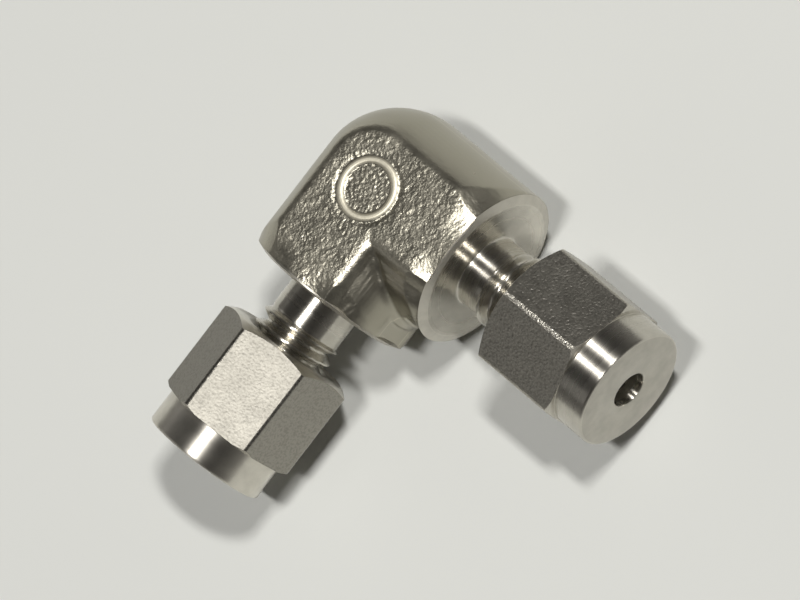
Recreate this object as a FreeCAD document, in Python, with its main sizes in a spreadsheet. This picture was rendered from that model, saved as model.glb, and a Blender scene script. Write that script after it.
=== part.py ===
import FreeCAD, Part
import os

import Sketcher

# Union elbow for 1/8 inch tube, in millimetres.
# The two arms' axes cross at the origin: the right arm runs along +X, the left arm along -Y,
# and the forged flats face +Z and -Z. Distances along an arm are counted from the crossing.

SIZES = [
    # Forged elbow body
    ("body_width", 14.8, "width of an arm at the forging's parting line"),
    ("body_thickness", 14.0, "between the two forged flats"),
    ("flat_width", 8.1, "width of a forged flat before its edges are rounded"),
    ("flat_shift", 0.25, "how far the flats lie towards the outside of the corner"),
    ("flat_edge_radius", 1.3, "rounding along the edges of the flats"),
    ("corner_shift", 0.5, "how far the outer corner's centre lies outside the crossing"),
    ("crotch_radius", 0.8, "rounding of the inside corner between the arms"),
    # Turned shoulder at the end of each arm
    ("shoulder_reach", 10.15, "crossing to the shoulder's face"),
    ("shoulder_chamfer_width", 0.85, "width of the chamfer round the shoulder's face"),
    ("shoulder_chamfer_depth", 0.35, "depth of the same chamfer along the arm"),
    ("runout_length", 2.8, "length over which the forging is turned down to the rim"),
    ("runout_rise", 0.8, "how far the turned run-out rises above the rim"),
    # Raised mark on the upper flat
    ("mark_diameter", 5.3, "outside of the raised ring"),
    ("mark_band", 0.5, "width of the raised ring"),
    ("mark_height", 0.12, "ring above the flat"),
    ("mark_recess", 0.12, "depth of the field pressed in around and inside the ring"),
    ("mark_border", 0.35, "pressed field outside the ring"),
    ("mark_inset", 0.45, "ring's centre from the crossing, along both arms"),
    # Threaded neck of each port
    ("relief_length", 2.6, "smooth neck from the shoulder to the thread"),
    ("relief_depth", 0.35, "smooth neck below the thread's outside, on the radius"),
    ("thread_diameter", 7.2, "outside of the thread"),
    ("thread_lead", 0.5, "chamfer at each end of the thread"),
    ("neck_length", 11.15, "shoulder's face to the neck's mouth"),
    # Bores
    ("tube_diameter", 3.175, "the tube that the fitting joins"),
    ("tube_clearance", 0.085, "tube hole over the tube, on the diameter"),
    ("socket_depth", 6.3, "neck's mouth to the step that the tube rests on"),
    ("tube_step", 0.48, "width of that step, round the passage to the other port"),
    ("cone_widening", 0.82, "the cone's mouth beyond the tube hole, on the radius"),
    ("cone_angle", 12.0, "slope of the cone and of the front ferrule, to the axis, in degrees"),
    # Ferrules
    ("ferrule_wall", 0.97, "flange of both ferrules beyond the tube hole, on the radius"),
    ("ferrule_clearance", 0.04, "gap between the ferrules, the cone and the nut"),
    ("ferrule_stand_out", 0.62, "neck's mouth to the front ferrule's flange, finger tight"),
    ("front_flange_length", 1.0, "cylindrical rear part of the front ferrule"),
    ("front_taper_length", 3.3, "tapered part of the front ferrule"),
    ("back_flange_length", 0.9, "thick part of the back ferrule"),
    ("back_nose_length", 0.8, "tapered nose of the back ferrule"),
    ("back_nose_wall", 0.55, "wall of the nose where it leaves the flange"),
    ("back_nose_tip", 0.25, "wall of the nose at its tip"),
    # Nuts
    ("nut_flats", 11.11, "across the flats of the hexagon"),
    ("hex_length", 8.6, "length of the hexagon"),
    ("collar_step", 0.055, "round collar below the hexagon's flats, on the radius"),
    ("collar_length", 3.05, "length of the collar beyond the hexagon"),
    ("collar_edge", 0.25, "chamfer at the collar's end"),
    ("hex_mouth_inset", 0.105, "where the mouth's chamfer starts, inside the flats' distance"),
    ("hex_back_outset", 0.345, "where the chamfer beside the collar starts, beyond that distance"),
    ("hex_chamfer_angle", 30.0, "slope of both chamfers on the hexagon, in degrees"),
    ("nut_running_clearance", 0.05, "gap between the thread's outside and the nut, on the radius"),
    ("nut_pocket_depth", 0.85, "smooth pocket for the ferrules' flanges, up to the end wall"),
    ("nut_wall", 3.2, "end wall of the nut that the tube passes through"),
    ("nut_pocket_clearance", 0.15, "gap round the ferrules' flanges, on the radius"),
    ("tube_hole_edge", 0.12, "chamfer where the tube enters the nut"),
    ("right_nut_turn", 58.3, "how the right nut stands at rest, in degrees"),
    ("left_nut_turn", 40.4, "how the left nut stands at rest, in degrees"),
]

# Reaches along an arm and radii that follow from the sizes
BODY_HALF = "Sizes.body_width / 2"
FLAT_UP = "Sizes.body_thickness / 2"
FLAT_OUTER = "Sizes.flat_width / 2 + Sizes.flat_shift"
FLAT_INNER = "Sizes.flat_width / 2 - Sizes.flat_shift"
THREAD_START = "Sizes.shoulder_reach + Sizes.relief_length"
NECK_END = "Sizes.shoulder_reach + Sizes.neck_length"
THREAD_RADIUS = "Sizes.thread_diameter / 2"
RELIEF_RADIUS = f"({THREAD_RADIUS} - Sizes.relief_depth)"
TUBE_RADIUS = "(Sizes.tube_diameter + Sizes.tube_clearance) / 2"
TUBE_STOP = f"{NECK_END} - Sizes.socket_depth"
FLOW_RADIUS = f"({TUBE_RADIUS} - Sizes.tube_step)"
MOUTH_RADIUS = f"({TUBE_RADIUS} + Sizes.cone_widening)"
SLOPE = "tan(Sizes.cone_angle * 1deg)"
CONE_BOTTOM = f"{NECK_END} - Sizes.cone_widening / {SLOPE}"

# The front ferrule seats in the cone, the back ferrule behind it, and the nut's end wall behind that
FERRULE_RADIUS = f"({TUBE_RADIUS} + Sizes.ferrule_wall)"
FRONT_SHOULDER = f"{NECK_END} + Sizes.ferrule_stand_out"
FRONT_TIP = f"{FRONT_SHOULDER} - Sizes.front_taper_length"
FRONT_REAR = f"{FRONT_SHOULDER} + Sizes.front_flange_length"
BACK_FRONT = f"{FRONT_REAR} + Sizes.ferrule_clearance"
BACK_REAR = f"{BACK_FRONT} + Sizes.back_flange_length"
DRIVE_FACE = f"{BACK_REAR} + Sizes.ferrule_clearance"
NUT_END = f"{DRIVE_FACE} + Sizes.nut_wall"
HEX_END = f"{NUT_END} - Sizes.collar_length"
NUT_MOUTH = f"{HEX_END} - Sizes.hex_length"
NUT_THREAD_END = f"{DRIVE_FACE} - Sizes.nut_pocket_depth"

EMBED = 1.0      # how deep a boss starts inside the solid that it grows from
OUTSIDE = 3.0    # how far a turning cut reaches beyond what it trims
NEAR = 1e-4      # two lengths closer than this are the same

doc = FreeCAD.newDocument("union_elbow")
sheet = doc.addObject("Spreadsheet::Sheet", "Sizes")


def fill_sheet():
    """Write the driving dimensions, each with its name as an alias."""
    for row, (alias, number, note) in enumerate(SIZES, start=1):
        sheet.set(f"A{row}", alias)
        sheet.set(f"B{row}", str(number))
        sheet.set(f"C{row}", note)
        sheet.setAlias(f"B{row}", alias)
    doc.recompute()


def value(expression):
    """The number that an expression on the sheet gives now."""
    result = sheet.evalExpression(expression)
    return float(getattr(result, "Value", result))


def new_body(name):
    """A body whose label is the sub-part's name."""
    body = doc.addObject("PartDesign::Body", name)
    body.Label = name
    return body


def new_sketch(body, name, role, lift="0", aside="0"):
    """A sketch on one of the body's own planes, moved along the plane's normal and first direction."""
    plane = next(item for item in body.Origin.OriginFeatures if item.Role == role)
    sketch = body.newObject("Sketcher::SketchObject", name)
    sketch.AttachmentSupport = (plane, [""])
    sketch.MapMode = "FlatFace"
    sketch.setExpression("AttachmentOffset.Base.z", lift)
    sketch.setExpression("AttachmentOffset.Base.x", aside)
    return sketch


def bind(sketch, kind, geometry, vertex, expression):
    """Hold one coordinate of a vertex at an expression."""
    rule = Sketcher.Constraint(kind, -1, 1, geometry, vertex, value(expression))
    index = sketch.addConstraint(rule)
    sketch.setExpression(f"Constraints[{index}]", expression)


def bind_size(sketch, kind, geometry, expression):
    """Hold a radius or a diameter at an expression."""
    index = sketch.addConstraint(Sketcher.Constraint(kind, geometry, value(expression)))
    sketch.setExpression(f"Constraints[{index}]", expression)


def draw_outline(sketch, corners):
    """A closed outline of straight lines through corners, each a pair of expressions."""
    points = [FreeCAD.Vector(value(across), value(up), 0) for across, up in corners]
    count = len(points)
    for number, point in enumerate(points):
        sketch.addGeometry(Part.LineSegment(point, points[(number + 1) % count]))
    for number, (across, up) in enumerate(corners):
        after = (number + 1) % count
        sketch.addConstraint(Sketcher.Constraint("Coincident", number, 2, after, 1))
        bind(sketch, "DistanceX", number, 1, across)
        bind(sketch, "DistanceY", number, 1, up)


def draw_circle(sketch, across, up, diameter):
    """A circle round a centre given by two expressions."""
    centre = FreeCAD.Vector(value(across), value(up), 0)
    circle = Part.Circle(centre, FreeCAD.Vector(0, 0, 1), value(diameter) / 2)
    number = sketch.addGeometry(circle)
    bind(sketch, "DistanceX", number, 3, across)
    bind(sketch, "DistanceY", number, 3, up)
    bind_size(sketch, "Diameter", number, diameter)


def pad(body, name, sketch, length):
    """Grow a sketch along its normal."""
    feature = body.newObject("PartDesign::Pad", name)
    feature.Profile = sketch
    feature.setExpression("Length", length)
    doc.recompute()
    return feature


def pocket(body, name, sketch, depth):
    """Press a sketch in against its normal, and check that it took material away."""
    before = body.Shape.Volume
    feature = body.newObject("PartDesign::Pocket", name)
    feature.Profile = sketch
    feature.setExpression("Length", depth)
    doc.recompute()
    if body.Shape.Volume >= before:
        raise ValueError(f"{name} took nothing away")
    return feature


def revolve(body, name, sketch, axis, angle=360):
    """Turn a sketch into a solid about one of its own axes."""
    feature = body.newObject("PartDesign::Revolution", name)
    feature.Profile = sketch
    feature.ReferenceAxis = (sketch, [axis])
    feature.Angle = angle
    doc.recompute()
    return feature


def groove(body, name, sketch, axis):
    """Turn a sketch's area off the solid, and check that it took material away."""
    before = body.Shape.Volume
    feature = body.newObject("PartDesign::Groove", name)
    feature.Profile = sketch
    feature.ReferenceAxis = (sketch, [axis])
    feature.Angle = 360
    doc.recompute()
    if body.Shape.Volume >= before:
        raise ValueError(f"{name} took nothing away")
    return feature


def round_edges(body, name, picks, radius):
    """Round the edges of the body's last feature that picks accepts."""
    base = body.Tip
    names = [f"Edge{number}" for number, edge in enumerate(base.Shape.Edges, start=1) if picks(edge)]
    if not names:
        raise ValueError(f"{name} found no edge")
    feature = body.newObject("PartDesign::Fillet", name)
    feature.Base = (base, names)
    feature.setExpression("Radius", radius)
    doc.recompute()
    return feature


# Elbow body

def bow_radius(flat, side):
    """Radius of a side that bows out from a flat's edge, at a distance from the middle, to side."""
    bulge = f"({side} - ({flat}))"
    return f"({bulge} ^ 2 + ({FLAT_UP}) ^ 2) / (2 * {bulge})"


def draw_section(sketch, left, right, side, inner=None):
    """An arm's section: flat above and below, reaching left and right, with sides bowed out to side.

    With inner given, only the part to the right of that distance is drawn.
    """
    up = value(FLAT_UP)
    left_edge = inner if inner else f"-({left})"
    top_left = FreeCAD.Vector(value(left_edge), up, 0)
    top_right = FreeCAD.Vector(value(right), up, 0)
    low_right = FreeCAD.Vector(value(right), -up, 0)
    low_left = FreeCAD.Vector(value(left_edge), -up, 0)
    right_middle = FreeCAD.Vector(value(side), 0, 0)
    sketch.addGeometry(Part.LineSegment(top_left, top_right))
    sketch.addGeometry(Part.LineSegment(low_right, low_left))
    sketch.addGeometry(Part.Arc(low_right, right_middle, top_right))
    if inner:
        sketch.addGeometry(Part.LineSegment(low_left, top_left))
        sketch.addConstraint(Sketcher.Constraint("Coincident", 3, 1, 1, 2))
        sketch.addConstraint(Sketcher.Constraint("Coincident", 3, 2, 0, 1))
    else:
        sketch.addGeometry(Part.Arc(top_left, -right_middle, low_left))
        sketch.addConstraint(Sketcher.Constraint("Coincident", 3, 1, 0, 1))
        sketch.addConstraint(Sketcher.Constraint("Coincident", 3, 2, 1, 2))
        bind_size(sketch, "Radius", 3, bow_radius(left, side))
    sketch.addConstraint(Sketcher.Constraint("Coincident", 2, 2, 0, 2))
    sketch.addConstraint(Sketcher.Constraint("Coincident", 2, 1, 1, 1))
    bind_size(sketch, "Radius", 2, bow_radius(right, side))
    bind(sketch, "DistanceX", 0, 1, left_edge)
    bind(sketch, "DistanceY", 0, 1, FLAT_UP)
    bind(sketch, "DistanceX", 0, 2, right)
    bind(sketch, "DistanceY", 0, 2, FLAT_UP)
    bind(sketch, "DistanceX", 1, 1, right)
    bind(sketch, "DistanceY", 1, 1, f"-({FLAT_UP})")
    bind(sketch, "DistanceX", 1, 2, left_edge)
    bind(sketch, "DistanceY", 1, 2, f"-({FLAT_UP})")


def along_arm(arm, profile):
    """Place a profile of (reach, radius) pairs in the elbow's plane, and give its axis of turning."""
    if arm == "right":
        return profile, "H_Axis"
    return [(radius, f"-({reach})") for reach, radius in profile], "V_Axis"


def turned(body, arm, name, profile, make):
    """Add or cut a turned form on one arm of the elbow body."""
    corners, axis = along_arm(arm, profile)
    sketch = new_sketch(body, f"{arm}_{name}_profile", "XY_Plane")
    draw_outline(sketch, corners)
    return make(body, f"{arm}_{name}", sketch, axis)


def is_crotch_edge(edge):
    """The upright edge where the inner sides of the two arms meet."""
    ends = [vertex.Point for vertex in edge.Vertexes]
    if len(ends) < 2:
        return False
    on_mitre = all(point.x > 0 and abs(point.x + point.y) < NEAR for point in ends)
    return on_mitre and abs(abs(ends[0].z - ends[1].z) - value("Sizes.body_thickness")) < NEAR


def is_flat_edge(edge):
    """An edge along a forged flat, apart from those on the arms' end faces."""
    middle = edge.valueAt((edge.FirstParameter + edge.LastParameter) / 2)
    points = [vertex.Point for vertex in edge.Vertexes] + [middle]
    up = value(FLAT_UP)
    reach = value("Sizes.shoulder_reach")
    level = all(abs(abs(point.z) - up) < NEAR for point in points)
    on_end = abs(middle.x - reach) < NEAR or abs(middle.y + reach) < NEAR
    return level and not on_end


def forge_blank(body):
    """Both arms and the rounded outer corner of the forging, with its edges rounded."""
    sections = {
        "right": ("YZ_Plane", FLAT_INNER, FLAT_OUTER),
        "left": ("XZ_Plane", FLAT_OUTER, FLAT_INNER),
    }
    for arm, (role, left, right) in sections.items():
        sketch = new_sketch(body, f"{arm}_arm_section", role, lift="-Sizes.corner_shift")
        draw_section(sketch, left, right, BODY_HALF)
        pad(body, f"{arm}_arm", sketch, "Sizes.shoulder_reach + Sizes.corner_shift")
    sketch = new_sketch(body, "corner_section", "YZ_Plane", "-Sizes.corner_shift", "Sizes.corner_shift")
    corner_flat = f"{FLAT_OUTER} - Sizes.corner_shift"
    draw_section(sketch, "0", corner_flat, f"({BODY_HALF} - Sizes.corner_shift)", inner="0")
    revolve(body, "outer_corner", sketch, "V_Axis", 90)
    round_edges(body, "crotch", is_crotch_edge, "Sizes.crotch_radius")
    round_edges(body, "flat_edges", is_flat_edge, "Sizes.flat_edge_radius")


def press_mark(body):
    """A raised ring in a shallow pressed field on the upper flat, with nothing inside it."""
    field = new_sketch(body, "mark_field_outline", "XY_Plane", lift=FLAT_UP)
    draw_circle(field, "Sizes.mark_inset", "-Sizes.mark_inset", "Sizes.mark_diameter + 2 * Sizes.mark_border")
    pocket(body, "mark_field", field, "Sizes.mark_recess")
    ring = new_sketch(body, "mark_ring_outline", "XY_Plane", lift=f"{FLAT_UP} - Sizes.mark_recess")
    draw_circle(ring, "Sizes.mark_inset", "-Sizes.mark_inset", "Sizes.mark_diameter")
    draw_circle(ring, "Sizes.mark_inset", "-Sizes.mark_inset", "Sizes.mark_diameter - 2 * Sizes.mark_band")
    pad(body, "mark_ring", ring, "Sizes.mark_recess + Sizes.mark_height")


def turn_shoulder(body, arm):
    """Turn the end of an arm down to a round, chamfered shoulder."""
    rim_reach = "Sizes.shoulder_reach - Sizes.shoulder_chamfer_depth"
    runout = f"{rim_reach} - Sizes.runout_length"
    outside = f"{BODY_HALF} + {OUTSIDE}"
    turned(body, arm, "shoulder", [
        ("Sizes.shoulder_reach", f"{BODY_HALF} - Sizes.shoulder_chamfer_width"),
        (rim_reach, BODY_HALF),
        (runout, f"{BODY_HALF} + Sizes.runout_rise"),
        (runout, outside),
        ("Sizes.shoulder_reach", outside),
    ], groove)


def turn_neck(body, arm):
    """The smooth neck and the threaded end, to the thread's outside diameter."""
    turned(body, arm, "neck", [
        (f"Sizes.shoulder_reach - {EMBED}", "0"),
        (f"Sizes.shoulder_reach - {EMBED}", RELIEF_RADIUS),
        (THREAD_START, RELIEF_RADIUS),
        (f"{THREAD_START} + Sizes.thread_lead", THREAD_RADIUS),
        (f"{NECK_END} - Sizes.thread_lead", THREAD_RADIUS),
        (NECK_END, f"{THREAD_RADIUS} - Sizes.thread_lead"),
        (NECK_END, "0"),
    ], revolve)


def bore_port(body, arm):
    """The ferrule's cone, the tube socket and the flow passage down to the crossing."""
    turned(body, arm, "bore", [
        (NECK_END, "0"),
        (NECK_END, MOUTH_RADIUS),
        (CONE_BOTTOM, TUBE_RADIUS),
        (TUBE_STOP, TUBE_RADIUS),
        (TUBE_STOP, FLOW_RADIUS),
        (f"-({FLOW_RADIUS})", FLOW_RADIUS),
        (f"-({FLOW_RADIUS})", "0"),
    ], groove)


def make_elbow_body():
    """The forged and machined elbow."""
    body = new_body("elbow_body")
    forge_blank(body)
    press_mark(body)
    for arm in ("right", "left"):
        turn_shoulder(body, arm)
    for arm in ("right", "left"):
        turn_neck(body, arm)
    for arm in ("right", "left"):
        bore_port(body, arm)
    body.Placement = FreeCAD.Placement()
    return body


# Nuts and ferrules, each turned about its own Z axis, which then lies along its arm

def lay_along(body, arm, turn="0"):
    """Point a turned piece's axis out along an arm, turned about that axis."""
    across = FreeCAD.Vector(0, 1, 0) if arm == "right" else FreeCAD.Vector(1, 0, 0)
    tip_over = FreeCAD.Rotation(across, 90)
    spin = FreeCAD.Rotation(FreeCAD.Vector(0, 0, 1), value(turn))
    body.Placement = FreeCAD.Placement(FreeCAD.Vector(), tip_over * spin)


def turned_piece(body, name, profile, make=revolve):
    """Add or cut a form given as (reach, radius) pairs about the piece's own axis."""
    sketch = new_sketch(body, f"{name}_profile", "XZ_Plane")
    draw_outline(sketch, [(radius, reach) for reach, radius in profile])
    return make(body, name, sketch, "V_Axis")


def make_nut(arm):
    """A hexagon nut with a round collar, a threaded hole and a wall with the tube's hole."""
    body = new_body(f"{arm}_nut")
    sketch = new_sketch(body, "hexagon", "XY_Plane", lift=NUT_MOUTH)
    corner = "Sizes.nut_flats / sqrt(3)"
    draw_outline(sketch, [
        (f"{corner} * cos({60 * side} * 1deg)", f"{corner} * sin({60 * side} * 1deg)")
        for side in range(6)
    ])
    pad(body, "hex", sketch, "Sizes.hex_length")
    outside = f"{corner} + {OUTSIDE}"
    fall = "tan(Sizes.hex_chamfer_angle * 1deg)"
    front = "(Sizes.nut_flats / 2 - Sizes.hex_mouth_inset)"
    back = "(Sizes.nut_flats / 2 + Sizes.hex_back_outset)"
    turned_piece(body, "front_chamfer", [
        (NUT_MOUTH, front),
        (NUT_MOUTH, outside),
        (f"{NUT_MOUTH} + ({outside} - {front}) * {fall}", outside),
    ], groove)
    turned_piece(body, "back_chamfer", [
        (HEX_END, back),
        (HEX_END, outside),
        (f"{HEX_END} - ({outside} - {back}) * {fall}", outside),
    ], groove)
    collar = "(Sizes.nut_flats / 2 - Sizes.collar_step)"
    turned_piece(body, "collar", [
        (f"{HEX_END} - {EMBED}", "0"),
        (f"{HEX_END} - {EMBED}", collar),
        (f"{NUT_END} - Sizes.collar_edge", collar),
        (NUT_END, f"{collar} - Sizes.collar_edge"),
        (NUT_END, "0"),
    ])
    hole = f"{THREAD_RADIUS} + Sizes.nut_running_clearance"
    pocket_radius = f"{FERRULE_RADIUS} + Sizes.nut_pocket_clearance"
    turned_piece(body, "nut_bore", [
        (NUT_MOUTH, "0"),
        (NUT_MOUTH, f"{hole} + Sizes.thread_lead"),
        (f"{NUT_MOUTH} + Sizes.thread_lead", hole),
        (NUT_THREAD_END, hole),
        (NUT_THREAD_END, pocket_radius),
        (DRIVE_FACE, pocket_radius),
        (DRIVE_FACE, TUBE_RADIUS),
        (f"{NUT_END} - Sizes.tube_hole_edge", TUBE_RADIUS),
        (NUT_END, f"{TUBE_RADIUS} + Sizes.tube_hole_edge"),
        (NUT_END, "0"),
    ], groove)
    lay_along(body, arm, f"Sizes.{arm}_nut_turn")
    return body


def make_back_ferrule(arm):
    """The small ring that grips the tube: a flange against the nut and a nose in the front ferrule."""
    body = new_body(f"{arm}_back_ferrule")
    tip = f"{BACK_FRONT} - Sizes.back_nose_length"
    turned_piece(body, "back_ring", [
        (BACK_REAR, TUBE_RADIUS),
        (BACK_REAR, FERRULE_RADIUS),
        (BACK_FRONT, FERRULE_RADIUS),
        (BACK_FRONT, f"{TUBE_RADIUS} + Sizes.back_nose_wall"),
        (tip, f"{TUBE_RADIUS} + Sizes.back_nose_tip"),
        (tip, TUBE_RADIUS),
    ])
    lay_along(body, arm)
    return body


def make_front_ferrule(arm):
    """The tapered ring that seals in the body's cone, hollowed at the rear for the back ferrule."""
    body = new_body(f"{arm}_front_ferrule")
    cone_fit = f"{MOUTH_RADIUS} - Sizes.ferrule_clearance"
    wide = f"{cone_fit} + ({FRONT_SHOULDER} - ({NECK_END})) * {SLOPE}"
    narrow = f"{cone_fit} + ({FRONT_TIP} - ({NECK_END})) * {SLOPE}"
    recess = f"{FRONT_REAR} - Sizes.back_nose_length"
    turned_piece(body, "front_ring", [
        (FRONT_TIP, TUBE_RADIUS),
        (FRONT_TIP, narrow),
        (FRONT_SHOULDER, wide),
        (FRONT_SHOULDER, FERRULE_RADIUS),
        (FRONT_REAR, FERRULE_RADIUS),
        (FRONT_REAR, f"{TUBE_RADIUS} + Sizes.back_nose_wall + Sizes.ferrule_clearance"),
        (recess, f"{TUBE_RADIUS} + Sizes.back_nose_tip + Sizes.ferrule_clearance"),
        (recess, TUBE_RADIUS),
    ])
    lay_along(body, arm)
    return body


def write_parts(bodies):
    """Check every object and every solid, then write one file for each sub-part."""
    doc.recompute()
    for item in doc.Objects:
        if "Invalid" in item.State or "Error" in item.State:
            raise ValueError(f"{item.Name} did not compute")
    os.makedirs("parts", exist_ok=True)
    for body in bodies:
        shape = body.Shape
        if shape.isNull() or not shape.isValid() or len(shape.Solids) != 1:
            raise ValueError(f"{body.Label} is not one valid solid")
        shape.exportStep(os.path.join("parts", f"{body.Label}.step"))
        print(body.Label, round(shape.Volume, 2), "mm3")


def main():
    """Build the elbow body and, for each arm, its nut and two ferrules."""
    fill_sheet()
    bodies = [make_elbow_body()]
    for arm in ("right", "left"):
        bodies += [make_nut(arm), make_front_ferrule(arm), make_back_ferrule(arm)]
    write_parts(bodies)


main()
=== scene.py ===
"""Looks of a union elbow for small tube: a forged corner block, its two turned
ports with their threads, two hexagon nuts, and a pale paper stage.

Shapes are worked out in millimetres and brought to metres when a piece is finished.
Each port and nut is turned about the X axis and then laid along its own arm.
"""
from math import atan2, cos, hypot, pi, radians, sin, tan, tau

import bmesh
import bpy
from bpy.props import FloatProperty, FloatVectorProperty, PointerProperty
from mathutils import Matrix, Vector, noise


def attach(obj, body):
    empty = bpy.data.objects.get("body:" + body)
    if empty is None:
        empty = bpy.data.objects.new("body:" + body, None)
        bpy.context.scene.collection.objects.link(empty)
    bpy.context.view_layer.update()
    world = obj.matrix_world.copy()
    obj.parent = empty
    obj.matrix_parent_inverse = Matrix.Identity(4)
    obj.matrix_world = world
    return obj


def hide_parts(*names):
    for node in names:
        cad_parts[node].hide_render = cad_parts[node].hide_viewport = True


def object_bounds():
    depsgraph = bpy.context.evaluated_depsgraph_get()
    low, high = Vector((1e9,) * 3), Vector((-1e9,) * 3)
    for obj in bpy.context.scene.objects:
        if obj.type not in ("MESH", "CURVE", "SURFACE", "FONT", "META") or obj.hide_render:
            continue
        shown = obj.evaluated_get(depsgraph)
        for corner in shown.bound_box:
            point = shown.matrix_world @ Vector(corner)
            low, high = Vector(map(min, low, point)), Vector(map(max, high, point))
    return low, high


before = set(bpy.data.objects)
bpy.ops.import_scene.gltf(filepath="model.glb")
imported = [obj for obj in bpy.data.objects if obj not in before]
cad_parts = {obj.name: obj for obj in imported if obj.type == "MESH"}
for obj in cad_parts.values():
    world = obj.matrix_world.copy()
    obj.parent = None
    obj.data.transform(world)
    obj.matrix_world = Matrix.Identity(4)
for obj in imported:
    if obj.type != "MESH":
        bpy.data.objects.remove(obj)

bl_info = {
    "name": "Union Elbow",
    "version": (1, 0, 0),
    "blender": (4, 5, 0),
    "location": "3D View > Sidebar > Union Elbow",
    "description": "Builds the forging, ports, nuts and stage of a small union elbow",
    "category": "Object",
}

CAD_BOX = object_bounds()
MILLIMETRES = 1000.0
ARMS = {
    "right": Matrix.Identity(4),
    "left": Matrix.Rotation(-pi / 2, 4, "Z"),
}
FACE_UP = Vector((0.0, 0.0, 1.0))

# The ring's centre, and how far round it the flat is levelled and divided more finely.
# Like the sizes below, these are in millimetres where nothing else is said.
RING_CENTRE = Vector((0.45, -0.45))
RING_LEVELLED = 3.3
RING_DIVIDED = 3.4
MOAT_WIDTH = 0.45

# How much longer the arms are while the skin is smoothed, and how often that is done.
ARM_EXTRA = 0.6
SMOOTHINGS = 3

# Cells in a millimetre, share of the height, and shift of each layer of forged grain.
GRAIN_LAYERS = ((1.3, 0.45, (0, 0, 0)), (3.0, 0.75, (0, 0, 0)), (4.6, 0.5, (7, 3, 1)))

# Round the crossing lies the passage, which has no grain.
CORE_REACH = 2.0

# How far the flats fall a millimetre into the crotch; the fall grows with the square.
EASED_FALL = 0.17

# Part of a turn at which each arm's thread has its crest, and half a crest's flat width.
CREST_AT = {"right": 0.68, "left": 0.52}
CREST_HALF = 0.09
FLANK = radians(30)

# Steps round the axis, the nuts' chamfers and hexagon, and the cuts that round a corner.
PORT_STEPS = 160
NUT_STEPS = 120
CHAMFER_SLOPE = tan(radians(30))
FLAT_TO_CORNER = cos(radians(30))
CORNER_LEANS = (-20, 0, 20)

# Places of the finishes among a port's and a nut's materials.
NECK, SHOULDER, CHAMFER = range(3)
BLASTED, TURNED, WORN_LIGHT_SHADE, FACED = range(4)

# Height of the forging's trimmed edges above and below its middle, in metres; a thin painted
# highlight runs along each on the sides.
TRIM_LEVEL = 0.0019

# Lamps that aim at the crossing: place and size in metres, and the setting of their power.
LAMPS = (
    ("lamp_overhead", (0.16, -0.115, 1.2), (0.28, 0.10), "first_power"),
    ("lamp_behind", (0.20, 0.53, 1.2), (0.24, 0.09), "second_power"),
    ("window", (-0.82, -0.74, 0.47), (1.0, 0.44), "window_power"),
)
LAMP_COLOUR = (1.0, 0.985, 0.96)
ROOM_COLOUR = (1.0, 0.97, 0.93, 1.0)

# The photograph's view, in metres and degrees.
CAMERA_PLACE = (0.30963, 0.05337, 0.59467)
CAMERA_TURN = (13.61, 24.161, 41.73)
CAMERA_LENS = 366.2


def length(name, description, metres):
    """A size that the user may change, shown in the scene's own unit."""
    return FloatProperty(name=name, description=description, default=metres,
                         min=0.0, precision=5, unit="LENGTH", subtype="DISTANCE")


def colour(name, description, value):
    """A colour that the user may change."""
    return FloatVectorProperty(name=name, description=description, default=value,
                               size=3, min=0.0, max=1.0, subtype="COLOR")


def share(name, description, value):
    """A plain number from nothing to one."""
    return FloatProperty(name=name, description=description, default=value, min=0.0, max=1.0)


def power(name, description, watts):
    """A lamp's power that the user may change."""
    return FloatProperty(name=name, description=description, default=watts,
                         min=0.0, unit="POWER")


class BodySizes(bpy.types.PropertyGroup):
    """Sizes of the forging and of its two ports."""
    voxel: length("Skin cell", "Size of a cell in the forging's skin", 0.00012)
    rim_reach: length("Rim reach", "From the axes' crossing to the end of the forged skin", 0.0098)
    rim_radius: length("Rim radius", "Radius of the skin where the shoulder is turned", 0.0074)
    shoulder_reach: length("Shoulder reach", "From the crossing to the shoulder's face", 0.01015)
    shoulder_radius: length("Shoulder radius", "Radius of the shoulder's flat face", 0.00655)
    half_thickness: length("Half thickness", "From the middle to each forged flat", 0.007)
    neck_radius: length("Neck radius", "Radius of the smooth neck behind the thread", 0.00325)
    neck_end: length("Neck end", "From the crossing to the neck's end face", 0.0213)
    right_thread_start: length("Right thread start", "Where the right thread begins", 0.0124)
    left_thread_start: length("Left thread start", "Where the left thread begins", 0.0131)
    crest_radius: length("Crest radius", "Radius over the thread", 0.0036)
    root_radius: length("Root radius", "Radius in the bottom of the thread", 0.00284)
    pitch: length("Pitch", "Length that one turn of the thread takes", 0.00127)
    cone_radius: length("Cone radius", "Radius of the ferrule's cone at the mouth", 0.00245)
    cone_bottom: length("Cone bottom", "Where the cone meets the tube's socket", 0.01744)
    tube_radius: length("Socket radius", "Radius of the tube's socket", 0.00163)
    tube_stop: length("Tube stop", "Where the tube comes to rest", 0.015)
    flow_radius: length("Flow radius", "Radius of the passage round the corner", 0.00115)
    mark_radius: length("Ring radius", "Outer radius of the raised ring on the flat", 0.0029)
    mark_band: length("Ring band", "Width of the raised ring", 0.0009)
    mark_height: length("Ring height", "How far the ring stands above the flat", 0.00012)
    mark_recess: length("Ring recess", "How deep the ground beside the ring lies", 0.00006)
    grain_depth: length("Grain depth", "Height of the forged grain on the flats", 0.00004)
    eased_start: length("Eased start", "Where the flats begin to fall towards the crotch", 0.0028)
    runout_start: length("Run-out start", "Where the flats begin to fall towards a rim", 0.0077)
    runout_drop: length("Run-out drop", "How far the flats fall beside the rim's middle", 0.00042)


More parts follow.
